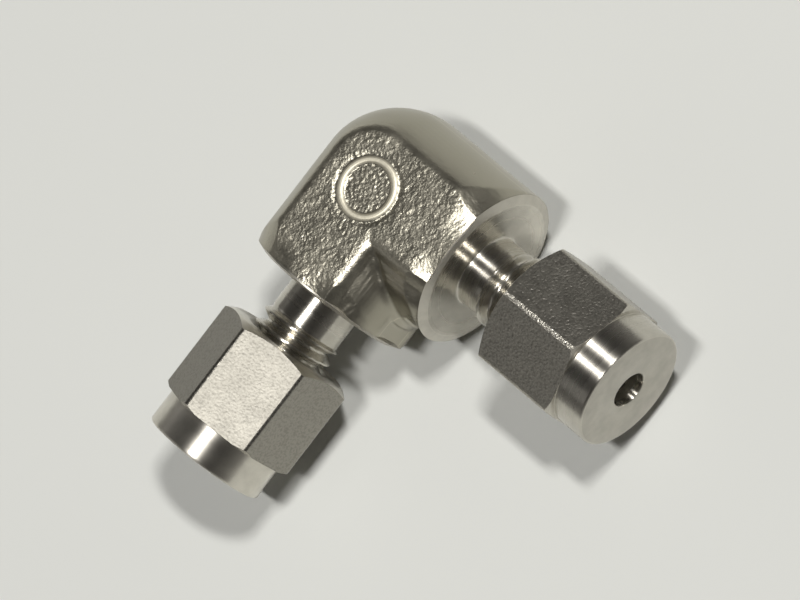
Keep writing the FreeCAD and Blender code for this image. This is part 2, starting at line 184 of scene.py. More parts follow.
class NutSizes(bpy.types.PropertyGroup):
    """Sizes of the two nuts."""
    mouth: length("Mouth reach", "From the crossing to the nut's open end", 0.01545)
    hex_end: length("Hexagon end", "Where the hexagon ends and the collar begins", 0.02405)
    collar_end: length("Collar end", "From the crossing to the nut's end face", 0.0271)
    half_flats: length("Half across flats", "From the axis to each flat", 0.005555)
    mouth_radius: length("Mouth radius", "Where the chamfer at the mouth begins", 0.00545)
    back_radius: length("Back radius", "Where the chamfer at the collar begins", 0.0059)
    collar_radius: length("Collar radius", "Radius of the round collar", 0.0055)
    thread_gap: length("Thread gap", "Play between the nut's thread and the neck's", 0.00006)
    thread_end: length("Thread end", "Where the nut's thread ends", 0.0217)
    pocket_start: length("Pocket start", "Where the pocket of the back ferrule begins", 0.02305)
    pocket_end: length("Pocket end", "The wall that drives the ferrules", 0.0239)
    pocket_radius: length("Pocket radius", "Radius of the ferrule's pocket", 0.00275)
    edge: length("Edge", "Radius of the long corners between the flats", 0.0005)


class Finishes(bpy.types.PropertyGroup):
    """Colours and sheen of the metal."""
    forged: colour("Forged steel", "Colour of the forged skin", (0.465, 0.44, 0.362))
    machined: colour("Machined steel", "Colour of the turned steel", (0.57, 0.545, 0.485))
    satin: colour("Satin steel", "Colour of the nuts' blasted flats", (0.44, 0.42, 0.37))
    ferrule: colour("Ferrule steel", "Colour of the ferrules", (0.6, 0.585, 0.56))


class StageSettings(bpy.types.PropertyGroup):
    """The paper, the lamps and the surroundings."""
    paper: colour("Paper", "Colour of the sheet under the part", (0.68, 0.69, 0.665))
    first_power: power("First lamp", "Power of the lamp overhead", 6.8)
    second_power: power("Second lamp", "Power of the lamp behind", 9.6)
    window_power: power("Window", "Power of the dim window at the side", 0.6)
    room: share("Room", "Brightness of the room around the paper", 0.09)
    floor_half: length("Floor", "Half the width of the paper", 4.0)


def mm(metres):
    """A length in millimetres."""
    return metres * MILLIMETRES


def smooth_step(low, high, value):
    """Rises smoothly from 0 at low to 1 at high."""
    part = min(max((value - low) / (high - low), 0.0), 1.0)
    return part * part * (3.0 - 2.0 * part)


def add_piece(name, bm, materials, body, node, sharp=32.0):
    """Turn a shape in millimetres into a finished piece that rides on its body."""
    bmesh.ops.scale(bm, vec=(1 / MILLIMETRES,) * 3, verts=bm.verts)
    bmesh.ops.recalc_face_normals(bm, faces=bm.faces)
    for face in bm.faces:
        face.smooth = True
    for edge in bm.edges:
        finishes = {face.material_index for face in edge.link_faces}
        # A nut's flats stay crisp where their rounded corners begin.
        crease = finishes == {BLASTED, WORN_LIGHT_SHADE}
        edge.smooth = edge.calc_face_angle(0.0) < radians(sharp) and not crease
    mesh = bpy.data.meshes.new(name)
    bm.to_mesh(mesh)
    bm.free()
    for material in materials:
        mesh.materials.append(material)
    piece = bpy.data.objects.new(name, mesh)
    bpy.context.scene.collection.objects.link(piece)
    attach(piece, body)
    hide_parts(node)
    return piece


def spun_ring(profile, steps):
    """Spin a closed outline of (reach, radius) points about the X axis."""
    bm = bmesh.new()
    verts = [bm.verts.new((reach, radius, 0.0)) for reach, radius in profile]
    edges = [bm.edges.new((verts[i - 1], verts[i])) for i in range(len(verts))]
    bmesh.ops.spin(bm, geom=verts + edges, cent=(0, 0, 0), axis=(1, 0, 0),
                   angle=tau, steps=steps, use_merge=True)
    bmesh.ops.remove_doubles(bm, verts=bm.verts, dist=1e-5)
    bmesh.ops.recalc_face_normals(bm, faces=bm.faces)
    return bm


def run(start, end, step):
    """Points from start to end, both included, no further apart than step."""
    count = max(1, round(hypot(end[0] - start[0], end[1] - start[1]) / step))
    return [(start[0] + (end[0] - start[0]) * i / count,
             start[1] + (end[1] - start[1]) * i / count) for i in range(count + 1)]


def round_corner(corner, before, after, radius, count=4):
    """Points on a small arc that rounds one corner of an outline."""
    corner, before, after = Vector(corner), Vector(before), Vector(after)
    first = corner + (before - corner).normalized() * radius
    last = corner + (after - corner).normalized() * radius
    points = []
    for i in range(count + 1):
        t = i / count
        point = first * (1 - t) ** 2 + corner * 2 * t * (1 - t) + last * t ** 2
        points.append((point.x, point.y))
    return points


def cut_beyond(bm, point, normal, dist):
    """Cut off what lies beyond a plane, and give the edges of the cut."""
    geom = bm.verts[:] + bm.edges[:] + bm.faces[:]
    made = bmesh.ops.bisect_plane(bm, geom=geom, dist=dist, plane_co=point,
                                  plane_no=normal, clear_outer=True)
    return [item for item in made["geom_cut"] if isinstance(item, bmesh.types.BMEdge)]


def cut_flat(bm, point, normal):
    """Cut off what lies beyond a plane, close the cut and give its faces."""
    edges = cut_beyond(bm, point, normal, 1e-6)
    return bmesh.ops.holes_fill(bm, edges=edges)["faces"]


def set_radius(vert, radius, wanted):
    """Move a point straight out from the X axis, from one radius to another."""
    vert.co.y *= wanted / radius
    vert.co.z *= wanted / radius


def thread_height(sizes, reach, angle, crest_at):
    """Share of the full thread height at a place on the neck, 0 in the root."""
    turns = reach / mm(sizes.pitch) - angle / tau - crest_at
    away = abs((turns + 0.5) % 1.0 - 0.5) * mm(sizes.pitch)
    depth = mm(sizes.crest_radius - sizes.root_radius)
    drop = max(away - CREST_HALF, 0.0) / tan(FLANK)
    height = 1.0 - min(drop / depth, 1.0)
    # A little fuller than straight flanks.
    return height ** 0.9


def runout_fall(sizes, along, across):
    """How far a flat has fallen at a place near a rim, and how much of a run-out it is."""
    start, rim = mm(sizes.runout_start), mm(sizes.rim_reach)
    beside = smooth_step(0.3, 3.0, abs(across))
    on = smooth_step(start, start + 1.2, along) * beside
    span = rim - start
    gone = max(along - start, 0.0) / span
    return mm(sizes.runout_drop) * gone ** 1.5 * beside, on


def rim_limit(sizes, angle):
    """Largest radius of the shoulder at an angle, where the fallen flats cut into it."""
    limit = mm(sizes.rim_radius)
    rim = mm(sizes.rim_reach)
    for _ in range(3):
        across = limit * cos(angle)
        level = mm(sizes.half_thickness) - runout_fall(sizes, rim, across)[0]
        limit = min(mm(sizes.rim_radius), level / max(abs(sin(angle)), 0.01))
    return limit


def neck_radius_at(sizes, start, reach, angle, crest_at):
    """Radius of the threaded neck at a reach and an angle about its axis."""
    neck = mm(sizes.neck_radius)
    rise = smooth_step(start, start + 0.35, reach)
    sink = smooth_step(start - 0.1, start + 0.9, reach)
    top = neck + (mm(sizes.crest_radius) - neck) * rise
    root = neck + (mm(sizes.root_radius) - neck) * sink
    radius = root + (top - root) * thread_height(sizes, reach, angle, crest_at)
    lead = mm(sizes.crest_radius) - 0.5 + (mm(sizes.neck_end) - reach)
    return min(radius, lead)


class MeshBuilder:
    """Shapes of this part, each made from the sizes that the user may change."""

    def __init__(self, scene):
        self.body = scene.elbow_body_sizes
        self.nut = scene.elbow_nut_sizes

    def rims(self):
        """A point on each arm's rim and the direction out of it."""
        rim = mm(self.body.rim_reach)
        return ((rim, 0, 0), (1, 0, 0)), ((0, -rim, 0), (0, -1, 0))

    def forging(self):
        """The forged corner block, with its grain and its raised ring."""
        sizes = self.body
        half = mm(sizes.half_thickness)
        bm = bmesh.new()
        bm.from_mesh(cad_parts["elbow_body"].data)
        bmesh.ops.scale(bm, vec=(MILLIMETRES,) * 3, verts=bm.verts)
        bmesh.ops.remove_doubles(bm, verts=bm.verts, dist=1e-4)
        for vert in bm.verts:
            if vert.co.z > half - 0.3 and (vert.co.xy - RING_CENTRE).length < RING_LEVELLED:
                vert.co.z = half
        for point, normal in self.rims():
            self.open_end(bm, point, normal, ARM_EXTRA)
        mesh = bpy.data.meshes.new("forging_core")
        bm.to_mesh(mesh)
        bm.free()
        core = bpy.data.objects.new("forging_core", mesh)
        bpy.context.scene.collection.objects.link(core)
        remesh = core.modifiers.new("Skin", "REMESH")
        remesh.mode = "VOXEL"
        remesh.voxel_size = mm(sizes.voxel)
        evaluated = core.evaluated_get(bpy.context.evaluated_depsgraph_get())
        skin = bpy.data.meshes.new_from_object(evaluated)
        bm = bmesh.new()
        bm.from_mesh(skin)
        bpy.data.objects.remove(core)
        bpy.data.meshes.remove(mesh)
        bpy.data.meshes.remove(skin)
        for _ in range(SMOOTHINGS):
            bmesh.ops.smooth_vert(bm, verts=bm.verts, factor=0.5,
                                  use_axis_x=True, use_axis_y=True, use_axis_z=True)
        for point, normal in self.rims():
            self.close_end(bm, point, normal)
        ring = [edge for edge in bm.edges
                if all(v.co.z > half - 0.5 and (v.co.xy - RING_CENTRE).length < RING_DIVIDED
                       for v in edge.verts)]
        bmesh.ops.subdivide_edges(bm, edges=ring, cuts=1, use_grid_fill=True)
        self.grain(bm)
        return bm

    def open_end(self, bm, point, normal, extra):
        """Cut an arm at its rim and lengthen it, so that smoothing doesn't shrink the rim."""
        edges = cut_beyond(bm, point, normal, 1e-5)
        grown = bmesh.ops.extrude_edge_only(bm, edges=edges)["geom"]
        verts = [item for item in grown if isinstance(item, bmesh.types.BMVert)]
        bmesh.ops.translate(bm, verts=verts, vec=Vector(normal) * extra)
        middle = Vector(point).dot(Vector(normal)) + extra / 2
        rims = [item for item in grown if isinstance(item, bmesh.types.BMEdge)
                and all(v.co.dot(Vector(normal)) > middle for v in item.verts)]
        bmesh.ops.triangle_fill(bm, edges=rims, use_beauty=True, normal=normal)

    def close_end(self, bm, point, normal):
        """Cut an arm of the skin crisply at its rim and close it round the passage."""
        edges = cut_beyond(bm, point, normal, 1e-4)
        bmesh.ops.triangle_fill(bm, edges=edges, use_beauty=True, normal=normal)

    def grain(self, bm):
        """Raise the ring and the forged grain, and note where the skin is rough."""
        sizes = self.body
        half, rim = mm(sizes.half_thickness), mm(sizes.rim_reach)
        outer, eased = mm(sizes.mark_radius), mm(sizes.eased_start)
        rough = bm.verts.layers.float.new("rough_skin")
        raised = bm.verts.layers.float.new("raised_ring")
        bm.normal_update()
        moves = []
        for vert in bm.verts:
            x, y, z = vert.co
            to_rim = min(rim - x if x > 0 else rim, rim + y if y < 0 else rim)
            up = abs(vert.normal.z)
            if to_rim < 0.01:
                # The rim's cut tips the normal along the arm, so only its tilt across counts.
                up /= max(hypot(vert.normal.y if x > -y else vert.normal.x, up), 0.01)
            side = smooth_step(0.55, 0.82, up) * smooth_step(half - 2.6, half - 1.0, abs(z))
            in_core = hypot(x, y) < CORE_REACH and abs(z) < CORE_REACH
            along, across = (x, y) if x > -y else (-y, x)
            fall, on_runout = runout_fall(sizes, along, across)
            into = min(max(min(x, -y) - eased, 0.0), 1.5)
            calm = max(0.45 * on_runout, 0.5 * smooth_step(0.0, 0.8, into))
            level = smooth_step(0.955, 0.99, up) * (1.0 - calm)
            amount = 0.0 if in_core else side * (0.35 + 0.65 * level)
            place = Vector((x, y, z * 1.1))
            height = amount * mm(sizes.grain_depth) * sum(
                weight * noise.noise(place * cells + Vector(shift))
                for cells, weight, shift in GRAIN_LAYERS)
            drop = EASED_FALL * into * into * smooth_step(0.3, 0.7, up)
            drop = max(drop, abs(z) - half + fall) * side
            lift = -drop if z > 0 else drop
            on_band = 0.0
            away = (vert.co.xy - RING_CENTRE).length
            if z > half - 0.6 and away < outer + 0.5:
                on_band, ring_lift = self.ring_at(away)
                lift += ring_lift
                height *= 1.0 - 0.85 * smooth_step(0.0, 0.5, on_band)
            vert[rough] = amount
            vert[raised] = smooth_step(0.1, 0.6, on_band)
            height *= 0.15 + 0.85 * smooth_step(0.0, 0.25, abs(to_rim))
            moves.append(vert.normal * height + FACE_UP * lift)
        highest = half + mm(sizes.mark_height)
        for vert, move in zip(bm.verts, moves):
            vert.co += move
            vert.co.z = min(max(vert.co.z, -half), highest)

    def ring_at(self, away):
        """How much of the raised ring a place is, and its lift, by distance from the centre."""
        sizes = self.body
        outer, half_band = mm(sizes.mark_radius), mm(sizes.mark_band) / 2
        off = min(abs(away - (outer - half_band)) / half_band, 1.0)
        on_band = 1.0 - smooth_step(0.2, 1.0, off)
        ground = -mm(sizes.mark_recess) * (1.0 - smooth_step(outer, outer + MOAT_WIDTH, away))
        return on_band, ground + (mm(sizes.mark_height) - ground) * on_band

    def port(self, arm):
        """The turned shoulder, neck, thread and sockets of one arm."""
        sizes = self.body
        rim, rim_radius = mm(sizes.rim_reach), mm(sizes.rim_radius)
        shoulder, face = mm(sizes.shoulder_reach), mm(sizes.shoulder_radius)
        neck, end = mm(sizes.neck_radius), mm(sizes.neck_end)
        crest = mm(sizes.crest_radius)
        flow, tube = mm(sizes.flow_radius), mm(sizes.tube_radius)
        stop, bottom = mm(sizes.tube_stop), mm(sizes.cone_bottom)
        thread = mm(sizes.right_thread_start if arm == "right" else sizes.left_thread_start)
        hidden = rim - 0.2
        profile = [(hidden, flow + 0.05), (hidden, rim_radius - 0.3),
                   (rim - 0.02, rim_radius - 0.06)]
        profile += round_corner((rim + 0.01, rim_radius), (rim - 0.02, rim_radius - 0.2),
                                (shoulder, face), 0.05, 2)
        profile += round_corner((shoulder, face), (rim, rim_radius), (shoulder, neck), 0.05, 3)
        profile += run((shoulder, face - 0.3), (shoulder, neck + 0.5), 0.5)
        profile += round_corner((shoulder, neck), (shoulder, neck + 1), (end, neck), 0.28, 5)
        profile += run((shoulder + 0.4, neck), (thread - 0.25, neck), 0.4)
        profile += run((thread - 0.15, neck), (end - 0.02, neck), 0.07)
        profile += [(end, crest - 0.55), (end, mm(sizes.cone_radius) + 0.06)]
        profile += [(end - 0.06, mm(sizes.cone_radius) - 0.01)]
        profile += [(bottom, tube), (stop, tube), (stop, flow), (hidden + 1.0, flow)]
        cleaned = profile[:1]
        for point in profile[1:]:
            if hypot(point[0] - cleaned[-1][0], point[1] - cleaned[-1][1]) > 0.004:
                cleaned.append(point)
        bm = spun_ring(cleaned, PORT_STEPS)
        start = thread - 0.16
        slope = (shoulder - rim) / (rim_radius - face)
        for vert in bm.verts:
            x, y, z = vert.co
            radius = hypot(y, z)
            limit = rim_limit(sizes, atan2(z, y))
            if radius > limit and x < shoulder:
                if x > rim - 0.01:
                    vert.co.x = max(x, shoulder - (limit - face) * slope)
                else:
                    limit -= 0.04
                set_radius(vert, radius, limit)
            if start < x < end - 0.005 and radius > neck - 0.01:
                angle = atan2(z, y)
                wanted = neck_radius_at(sizes, thread, x, angle, CREST_AT[arm])
                set_radius(vert, radius, wanted)
        bmesh.ops.remove_doubles(bm, verts=bm.verts, dist=0.001)
        for facet in bm.faces:
            middle = facet.calc_center_median()
            if middle.x > shoulder + 0.01:
                facet.material_index = NECK
            else:
                facet.material_index = SHOULDER if middle.x > shoulder - 0.02 else CHAMFER
        bmesh.ops.transform(bm, matrix=ARMS[arm], verts=bm.verts)
        return bm

    def nut_shell(self, arm, turn):
        """One hexagon nut with its collar, thread, pocket and tube hole."""
        sizes, body = self.nut, self.body
        mouth, hex_end, end = mm(sizes.mouth), mm(sizes.hex_end), mm(sizes.collar_end)
        flats, collar = mm(sizes.half_flats), mm(sizes.collar_radius)
        # A little outside the hexagon's corners, so that its flats meet in clean edges.
        corner = flats / FLAT_TO_CORNER + 0.05
        hole = mm(body.crest_radius) + mm(sizes.thread_gap)
        tube, edge = mm(body.tube_radius), mm(sizes.edge)
        front, back = mm(sizes.mouth_radius), mm(sizes.back_radius)
        front_corner = mouth + (corner - front) * CHAMFER_SLOPE
        back_corner = hex_end - (corner - back) * CHAMFER_SLOPE
        pocket, start = mm(sizes.pocket_radius), mm(sizes.pocket_start)
        wall, thread_end = mm(sizes.pocket_end), mm(sizes.thread_end)
        profile = [(mouth + 0.35, hole), (mouth + 0.02, hole + 0.33), (mouth, hole + 0.4)]
        profile += round_corner((mouth, front), (mouth, front - 1), (front_corner, corner), 0.06, 2)
        profile += [(front_corner, corner), (back_corner, corner)]
        profile += round_corner((hex_end, back), (back_corner, corner), (hex_end, collar), 0.06, 2)
        profile += round_corner((hex_end, collar), (hex_end, back), (end, collar), 0.10, 3)
        profile += round_corner((end, collar), (hex_end, collar), (end, tube), 0.30, 5)
        profile += round_corner((end, tube), (end, collar), (wall, tube), 0.16, 3)
        profile += [(wall, tube), (wall, pocket), (start, pocket), (start, hole)]
        profile += run((thread_end, hole), (mouth + 0.40, hole), 0.075)
        bm = spun_ring(profile, NUT_STEPS)
        root, crest = mm(body.root_radius), mm(body.crest_radius)
        for vert in bm.verts:
            x, y, z = vert.co
            radius = hypot(y, z)
            if mouth + 0.36 < x < thread_end + 0.001 and radius < hole + 0.001:
                angle = atan2(z, y)
                height = thread_height(body, x, angle, CREST_AT[arm])
                ends = min(smooth_step(mouth + 0.3, mouth + 0.7, x),
                           smooth_step(thread_end, thread_end - 0.5, x))
                full = root + (crest - root) * height + mm(sizes.thread_gap)
                wanted = hole + (full - hole) * ends
                set_radius(vert, radius, wanted)
        for i in range(6):
            angle = turn + i * pi / 3
            normal = Vector((0, cos(angle), sin(angle)))
            cut_flat(bm, normal * flats, normal)
        self.round_long_corners(bm, flats, turn, edge)
        self.mark_finishes(bm, flats, hex_end, end)
        bmesh.ops.transform(bm, matrix=ARMS[arm], verts=bm.verts)
        return bm

    def round_long_corners(self, bm, flats, turn, edge):
        """Round the long corners between the hexagon's flats with three narrow cuts each."""
        centre = (flats - edge) / FLAT_TO_CORNER
        for i in range(6):
            for lean in CORNER_LEANS:
                angle = turn + radians(30 + 60 * i + lean)
                normal = Vector((0, cos(angle), sin(angle)))
                reach = centre * cos(radians(lean)) + edge
                for face in cut_flat(bm, normal * reach, normal):
                    face.material_index = WORN_LIGHT_SHADE

    def mark_finishes(self, bm, flats, hex_end, end):
        """Blasted flats, turned faces, worn corners with painted light and shade, and the faced
        end, in that order.
        """
        bm.normal_update()
        for face in bm.faces:
            middle = face.calc_center_median()
            radial = hypot(middle.y, middle.z)
            outside = radial > flats - 1.2 and middle.x < hex_end - 0.02
            if middle.x > end - 0.02:
                face.material_index = FACED
            elif face.material_index != WORN_LIGHT_SHADE:
                flat = outside and abs(face.normal.x) < 0.2
                face.material_index = BLASTED if flat else TURNED


class NodeBoard:
    """Small helper that adds and links the nodes of one material."""

    def __init__(self, name):
        self.material = bpy.data.materials.new(name)
        self.material.use_nodes = True
        self.tree = self.material.node_tree
        self.tree.nodes.clear()
        self.output = self.tree.nodes.new("ShaderNodeOutputMaterial")
        self.shader = self.tree.nodes.new("ShaderNodeBsdfPrincipled")
        self.tree.links.new(self.shader.outputs["BSDF"], self.output.inputs["Surface"])
        coordinates = self.tree.nodes.new("ShaderNodeTexCoord")
        self.place = coordinates.outputs["Object"]

    def add(self, kind, **values):
        """Add a node and set its properties."""
        node = self.tree.nodes.new(kind)
        for key, value in values.items():
            setattr(node, key, value)
        return node

    def link(self, source, target):
        """Join two sockets."""
        self.tree.links.new(source, target)

    def noise(self, vector, scale, detail=3.0, roughness=0.55):
        """Cloudy noise, its scale in cells a metre."""
        node = self.add("ShaderNodeTexNoise")
        self.link(vector, node.inputs["Vector"])
        node.inputs["Scale"].default_value = scale
        node.inputs["Detail"].default_value = detail
        node.inputs["Roughness"].default_value = roughness
        return node.outputs["Fac"]

    def cells(self, vector, scale):
        """Distance to the nearest cell's centre, its scale in cells a metre."""
        node = self.add("ShaderNodeTexVoronoi")
        self.link(vector, node.inputs["Vector"])
        node.inputs["Scale"].default_value = scale
        return node.outputs["Distance"]

    def math(self, operation, first, second=0.5):
        """One sum on sockets or plain numbers."""
        node = self.add("ShaderNodeMath", operation=operation)
        for socket, value in zip(node.inputs, (first, second)):
            if isinstance(value, (int, float)):
                socket.default_value = value
            else:
                self.link(value, socket)
        return node.outputs[0]

    def range(self, value, low, high, to_low, to_high):
        """Map a value from one range to another."""
        node = self.add("ShaderNodeMapRange")
        self.link(value, node.inputs["Value"])
        for name, number in (("From Min", low), ("From Max", high),
                             ("To Min", to_low), ("To Max", to_high)):
            node.inputs[name].default_value = number
        return node.outputs["Result"]

    def mix(self, factor, first, second):
        """Blend two colours."""
        node = self.add("ShaderNodeMix", data_type="RGBA")
        self.link(factor, node.inputs["Factor"])
        for name, value in (("A", first), ("B", second)):
            socket = [s for s in node.inputs if s.name == name and s.type == "RGBA"][0]
            if isinstance(value, tuple):
                socket.default_value = value + (1.0,)
            else:
                self.link(value, socket)
        return [s for s in node.outputs if s.type == "RGBA"][0]

    def bump(self, height, strength, distance):
        """Turn a height into a shading normal."""
        node = self.add("ShaderNodeBump")
        if isinstance(strength, (int, float)):
            node.inputs["Strength"].default_value = strength
        else:
            self.link(strength, node.inputs["Strength"])
        node.inputs["Distance"].default_value = distance
        self.link(height, node.inputs["Height"])
        return node.outputs["Normal"]

    def lathe_place(self, axis):
        """Coordinates of reach and radius, the same all the way round."""
        split = self.add("ShaderNodeSeparateXYZ")
        self.link(self.place, split.inputs[0])
        x, y, z = split.outputs
        along, across = (x, y) if axis == "X" else (y, x)
        square = self.math("ADD", self.math("MULTIPLY", across, across),
                           self.math("MULTIPLY", z, z))
        radius = self.math("SQRT", square)
        join = self.add("ShaderNodeCombineXYZ")
        self.link(along, join.inputs[0])
        self.link(radius, join.inputs[1])
        return join.outputs[0]

    def finish(self, base, roughness, normal):
        """Link the last values to the shader of a bare metal."""
        self.shader.inputs["Metallic"].default_value = 1.0
        for name, value in (("Base Color", base), ("Roughness", roughness), ("Normal", normal)):
            self.link(value, self.shader.inputs[name])
        return self.material


def dim(value, factor):
    """A colour made darker or lighter by a factor."""
    return tuple(min(channel * factor, 1.0) for channel in value)


def forged_skin(finishes):
    """Forged steel: grainy on the flats, rubbed smooth on the sides with two trimmed edges, with
    painted shade in the grain's hollows, on the sides and in the crotch, and painted highlights on
    the raised ring and along the trimmed edges.
    """
    board = NodeBoard("forged_skin")
    rough = board.add("ShaderNodeAttribute", attribute_name="rough_skin").outputs["Fac"]
    ring = board.add("ShaderNodeAttribute", attribute_name="raised_ring").outputs["Fac"]
    grain = board.noise(board.place, 6200, 3.0, 0.55)
    pebble = board.cells(board.place, 4600)
    cloud = board.noise(board.place, 420, 3.0)
    base = tuple(finishes.forged)
    tone = board.mix(board.range(cloud, 0.35, 0.65, 0.0, 1.0), dim(base, 0.9), dim(base, 1.08))
    # Painted shade: the grain is darkened in its low spots, the hollows of the bump.
    tone = board.mix(board.math("MULTIPLY", board.range(grain, 0.52, 0.3, 0.0, 0.85), rough),
                     tone, dim(base, 0.55))
    # Painted shade: where the skin has no grain, on the smooth sides and in the crotch, it is
    # darkened.
    tone = board.mix(board.range(rough, 0.0, 0.3, 0.8, 0.0), tone, dim(base, 0.8))
    # Painted highlight: the raised ring is made much lighter.
    tone = board.mix(ring, tone, dim(base, 1.7))
    # A thin line along each trimmed edge on the sides: a real edge, made lighter as a painted
    # highlight.
    split = board.add("ShaderNodeSeparateXYZ")
    board.link(board.place, split.inputs[0])
    level = board.math("ABSOLUTE", split.outputs[2])
    level = board.math("ADD", level, board.range(cloud, 0.3, 0.7, -0.00006, 0.00006))
    trim_highlight = board.math("ABSOLUTE", board.math("SUBTRACT", level, TRIM_LEVEL))
    trim_highlight = board.range(trim_highlight, 0.0, 0.0001, 0.55, 0.0)
    trim_highlight = board.math("MULTIPLY", trim_highlight, board.range(rough, 0.0, 0.1, 1.0, 0.0))
    tone = board.mix(trim_highlight, tone, dim(base, 1.35))
    sheen = board.math("ADD", board.range(rough, 0.0, 1.0, 0.31, 0.37),
                       board.range(ring, 0.0, 1.0, 0.0, 0.16))
    sheen = board.math("ADD", sheen, board.range(cloud, 0.3, 0.7, -0.04, 0.05))
    height = board.math("ADD", grain, board.math("MULTIPLY", pebble, 0.8))
    strength = board.range(rough, 0.0, 1.0, 0.06, 0.85)
    strength = board.math("MULTIPLY", strength, board.range(ring, 0.0, 1.0, 1.0, 0.12))
    normal = board.bump(height, strength, 0.00003)
    return board.finish(tone, sheen, normal)


def turned_steel(name, base, axis, low, high, marks, spread):
    """Turned steel, with fine marks that run round the axis and stretch its glints along it."""
    board = NodeBoard(name)
    around = board.add("ShaderNodeTangent", direction_type="RADIAL", axis=axis)
    board.link(around.outputs[0], board.shader.inputs["Tangent"])
    board.shader.inputs["Anisotropic"].default_value = spread
    board.shader.inputs["Anisotropic Rotation"].default_value = 0.25
    lathe = board.lathe_place(axis)
    fine = board.noise(lathe, 9000, 3.0, 0.6)
    broad = board.noise(lathe, 1500, 2.0)
    cloud = board.noise(board.place, 700, 3.0)
    tone = board.mix(board.range(cloud, 0.35, 0.65, 0.0, 1.0), dim(base, 0.92), dim(base, 1.06))
    sheen = board.range(broad, 0.3, 0.7, low, high)
    normal = board.bump(fine, marks, 0.00001)
    return board.finish(tone, sheen, normal)


def blasted_steel(name, base, low, high, depth, pitted):
    """Satin steel, blasted with fine beads that leave it more or less pitted."""
    board = NodeBoard(name)
    beads = board.noise(board.place, 4800, 2.0, 0.5)
    pits = board.range(board.cells(board.place, 3100), 0.1, 0.55, 0.0, pitted)
    cloud = board.noise(board.place, 600, 3.0)
    tone = board.mix(board.range(cloud, 0.35, 0.65, 0.0, 1.0), dim(base, 0.97), dim(base, 1.03))
    # Painted shade: the beads' low spots are darkened, the more so the more pitted the steel.
    tone = board.mix(board.range(beads, 0.55, 0.35, 0.0, 0.2 + pitted), tone, dim(base, 0.6))
    sheen = board.range(cloud, 0.3, 0.7, low, high)
    normal = board.bump(board.math("ADD", beads, pits), 1.0, depth)
    return board.finish(tone, sheen, normal)


def worn_corner_light_shade(name, base, gloss, depth):
    """A nut's corners, worn smoother than the flats; the colour passed in paints a highlight or a
    shade along them.
    """
    board = NodeBoard(name)
    beads = board.noise(board.place, 5200, 2.0, 0.6)
    tone = board.mix(board.range(beads, 0.35, 0.65, 0.0, 1.0), dim(base, 0.9), dim(base, 1.1))
    sheen = board.range(beads, 0.3, 0.7, gloss, gloss + 0.08)
    normal = board.bump(beads, 1.0, depth)
    return board.finish(tone, sheen, normal)


def paper(settings):
    """Matt paper, very slightly clouded."""
    board = NodeBoard("stage_paper")
    cloud = board.noise(board.place, 9.0, 3.0)
    base = tuple(settings.paper)
    tone = board.mix(board.range(cloud, 0.3, 0.7, 0.0, 1.0), dim(base, 0.985), dim(base, 1.01))
    board.link(tone, board.shader.inputs["Base Color"])
    board.shader.inputs["Roughness"].default_value = 0.95
    board.shader.inputs["Specular IOR Level"].default_value = 0.1
    return board.material


class ELBOW_OT_forging(bpy.types.Operator):
    """Build the forged corner block with its grain and raised ring"""
    bl_idname = "elbow.forging"
    bl_label = "Forging"

    def execute(self, context):
        scene = context.scene
        bm = MeshBuilder(scene).forging()
        add_piece("forging", bm, [forged_skin(scene.elbow_finishes)],
                  "elbow", "elbow_body", sharp=60.0)
        return {"FINISHED"}


class ELBOW_OT_ports(bpy.types.Operator):
    """Build the turned shoulder, neck and thread of both arms"""
    bl_idname = "elbow.ports"
    bl_label = "Ports"

    def execute(self, context):
        scene = context.scene
        base = tuple(scene.elbow_finishes.machined)
        for arm, axis in (("right", "X"), ("left", "Y")):
            # Painted light: the same turned steel is made a little darker on the neck and lighter
            # on the shoulder's face, as a painted reflection.
            neck = turned_steel(arm + "_polished_neck", dim(base, 0.95), axis,
                                0.24, 0.30, marks=0.2, spread=0.9)
            face = turned_steel(arm + "_faced_shoulder", dim(base, 1.1), axis,
                                0.22, 0.30, marks=0.3, spread=0.8)
            chamfer = turned_steel(arm + "_shoulder_chamfer", base, axis,
                                   0.42, 0.5, marks=0.4, spread=0.4)
            bm = MeshBuilder(scene).port(arm)
            add_piece(arm + "_port", bm, [neck, face, chamfer],
                      "elbow", "elbow_body")
        return {"FINISHED"}


